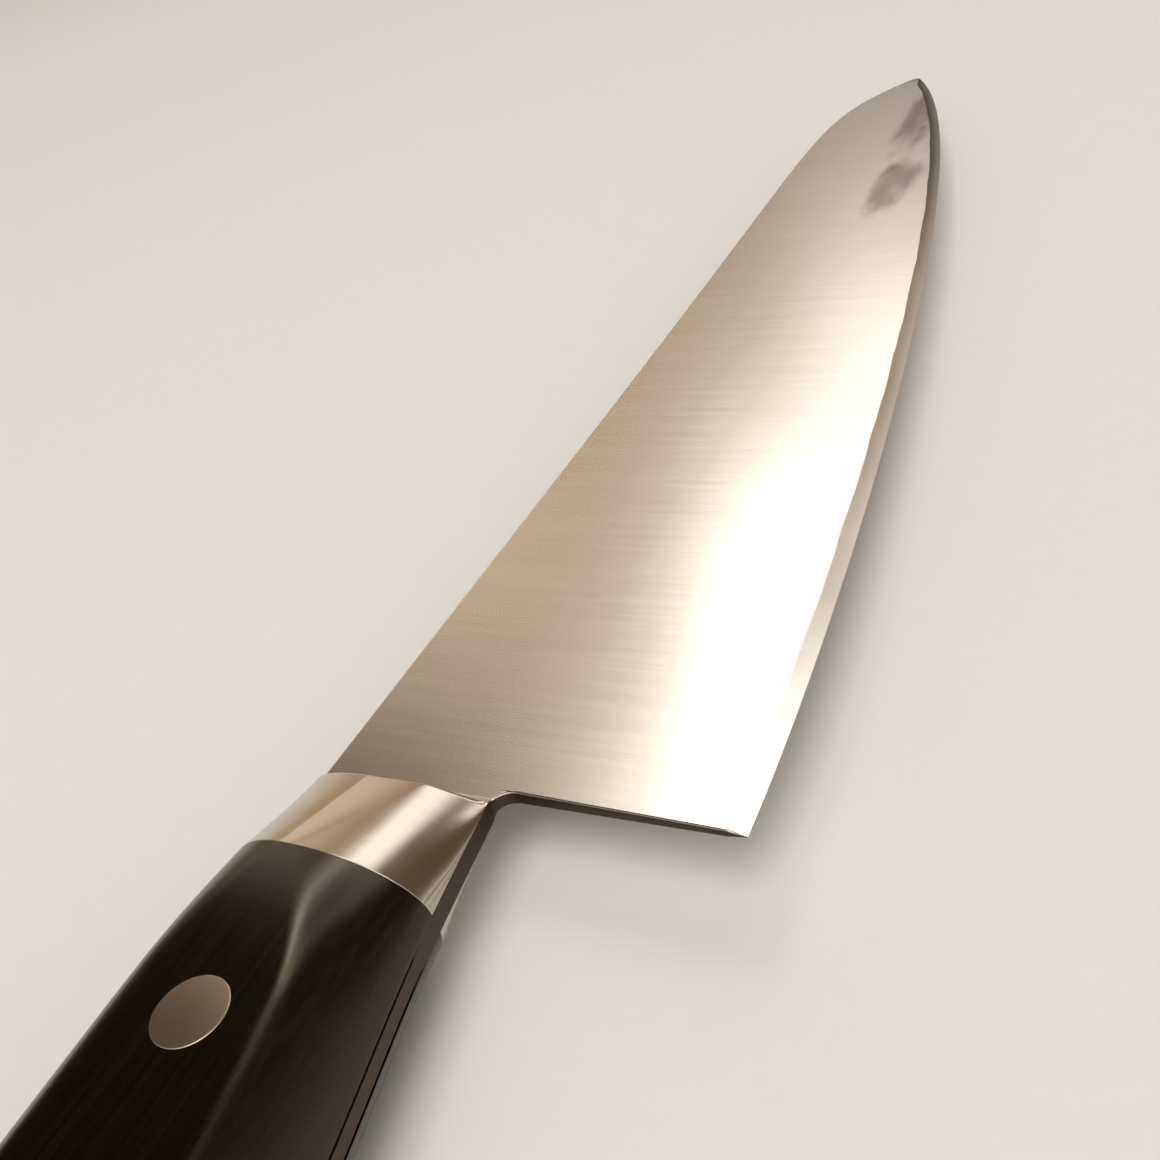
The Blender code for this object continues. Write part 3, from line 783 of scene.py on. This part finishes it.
pin_steel = rivet_steel()
for name, back in RIVET_BACKS.items():
    stem = [(RIVET_STEM / 2, seat), (RIVET_STEM / 2, -seat), (0, -seat)]
    pin = turned(f"{name}_rivet_pin", (head_profile() + stem)[::-1], rivet_place(back))
    stand_for(pin, f"{name}_rivet_male", pin_steel)
    head = [(radius, -z) for radius, z in head_profile()]
    inside = RIVET_STEM / 2 + RIVET_CLEARANCE
    tube = [(RIVET_TUBE / 2, -seat), (RIVET_TUBE / 2, seat), (inside, seat), (inside, -seat), (0, -seat)]
    sleeve = turned(f"{name}_rivet_sleeve", head + tube, rivet_place(back))
    stand_for(sleeve, f"{name}_rivet_female", pin_steel)

# Studio. The knife lies on a plain pale floor. Soft panels of light stand in a dim warm wall beyond
# its point, where its faces mirror them, and the rest of the room is pale, with one broad lamp.
FLOOR_REACH = 20.0  # half its width
FLOOR_DARK = (0.77, 0.755, 0.725)
FLOOR_LIGHT = (0.79, 0.775, 0.745)
LAMP_WAY = (205, 65)  # its azimuth and elevation, in degrees
LAMP_DISTANCE = 2.5
LAMP_SIZE = 1.6
LAMP_BRIGHTNESS = 3.3
LAMP_COLOUR = (1.0, 0.99, 0.97)
WARM_LIGHT = (1.0, 0.72, 0.44)
WHITE_LIGHT = (1.0, 0.98, 0.95)

floor_mesh = bpy.data.meshes.new("floor")
square = ((-1, -1), (1, -1), (1, 1), (-1, 1))
floor_mesh.from_pydata([(FLOOR_REACH * a, FLOOR_REACH * b, 0) for a, b in square], [], [(0, 1, 2, 3)])
floor = bpy.data.objects.new("floor", floor_mesh)
bpy.context.collection.objects.link(floor)
paper = Finish(bpy.data.materials.new("pale floor"))
fibre = paper.noise((0.4, 0.4, 0.4), detail=3.0)
floor_mesh.materials.append(
    paper.wear(
        Base_Color=paper.mix(fibre, FLOOR_DARK, FLOOR_LIGHT),
        Roughness=0.8,
    )
)


def towards(azimuth, elevation):
    """The unit vector that points out over the floor at this azimuth and elevation, in degrees."""
    a, e = radians(azimuth), radians(elevation)
    return Vector((cos(a) * cos(e), sin(a) * cos(e), sin(e)))


overhead = bpy.data.lights.new("overhead", "AREA")
overhead.shape = "RECTANGLE"
overhead.size, overhead.size_y = (LAMP_SIZE, LAMP_SIZE)
overhead.energy = LAMP_BRIGHTNESS * pi * LAMP_SIZE * LAMP_SIZE  # its brightness times pi and its area
overhead.color = LAMP_COLOUR
holder = bpy.data.objects.new("overhead", overhead)
holder.location = towards(*LAMP_WAY) * LAMP_DISTANCE
holder.rotation_euler = towards(*LAMP_WAY).to_track_quat("Z", "Y").to_euler()
bpy.context.collection.objects.link(holder)

surround = Finish(bpy.data.worlds.new("surround"), "Background")


def look_along(direction):
    """The cosine between a direction and where the surround is looked at."""
    look = surround.add("ShaderNodeTexCoord", output="Generated")
    settings = {"operation": "DOT_PRODUCT"}
    return surround.add("ShaderNodeVectorMath", settings, {0: look, 1: direction}, output="Value")


def patch(azimuth, elevation, inner, outer):
    """1 within so many degrees of a direction, 0 beyond so many, from the cosine between them."""
    cosine = look_along(towards(azimuth, elevation))
    return cosine.between(cos(radians(outer)), cos(radians(inner)))


def panel(azimuth, elevation, roll, width, height, core):
    """A soft oval of light, its half width and half height in degrees, turned by its roll.

    The squares of the sideways and upward cosines, each over its own half size, add up to 1 on
    its rim; it is full where they add up to less than its core.
    """
    out = towards(azimuth, elevation)
    across = out.to_track_quat("Z", "Y") @ Quaternion((0, 0, 1), radians(roll))
    x = look_along(across @ Vector((1 / sin(radians(width)), 0, 0)))
    y = look_along(across @ Vector((0, 1 / sin(radians(height)), 0)))
    facing = look_along(out).between(0.0, 0.1)
    return (x * x + y * y).between(1.0, core) * facing


# What the knife mirrors: a window with a strip beside it, a foot and a thin ridge below it, a sill
# and a small lantern, with a glow and a halo round them. Each is given its direction, its size in
# degrees and its strength.
window = panel(azimuth=12, elevation=52, roll=-3.5, width=22.5, height=11.0, core=0.35) * 2.25
foot = panel(azimuth=12.4, elevation=28.8, roll=-6, width=8.7, height=6.2, core=0.35) * 2.25
ridge = panel(azimuth=17, elevation=21.5, roll=-41, width=2.4, height=8.0, core=0.0) * 0.55
strip = panel(azimuth=23.6, elevation=42.8, roll=-8, width=5.3, height=14.8, core=0.15) * 4.6
sill = panel(azimuth=-10, elevation=41, roll=-10, width=9.0, height=2.0, core=0.2) * 2.5
lantern = patch(azimuth=46, elevation=23.5, inner=0, outer=14) * 0.50
glow = patch(azimuth=48, elevation=18, inner=12, outer=32) * 0.36
halo = patch(azimuth=38, elevation=47, inner=1, outer=13) * 0.15

# A corner to the left stays dark. The room is palest behind the camera, pale to both sides, and dim
# beyond the point, and a light haze lies on the horizon, where the floor ends.
corner = patch(azimuth=88, elevation=48, inner=24, outer=40)
behind = patch(azimuth=210, elevation=45, inner=25, outer=62) * 0.45
sides = (1 - patch(azimuth=20, elevation=35, inner=50, outer=85)) * 0.5
haze = look_along(Vector((0, 0, 1))).between(0.09, 0.02) * 0.4
dim = (0.15 + glow + halo) * (1 - corner * 0.85)
room = (behind + sides) * (1 - corner)
bright = window + foot + ridge + strip + sill + lantern + room + haze
strength = dim + bright
bpy.context.scene.world = surround.wear(
    Color=surround.mix(bright / strength, WARM_LIGHT, WHITE_LIGHT),
    Strength=strength,
)

# Camera. It stands above the handle and looks out along the blade, rolled to the left. The three
# vectors are its own right, up and back.
camera = bpy.data.cameras.new("camera")
camera.sensor_width = 36
camera.lens = 39.259
camera.clip_start = 0.005
camera.clip_end = 20
eye = bpy.data.objects.new("camera", camera)
right = Vector((0.41102, -0.87299, -0.26258))
up = Vector((0.60181, 0.04348, 0.79746))
back = Vector((-0.68476, -0.48579, 0.54324))
stand = Matrix.Translation((-0.10973, -0.061687, 0.08795))
eye.matrix_world = stand @ Matrix((right, up, back)).transposed().to_4x4()
bpy.context.collection.objects.link(eye)
bpy.context.scene.camera = eye
bpy.context.scene.view_settings.view_transform = "Standard"
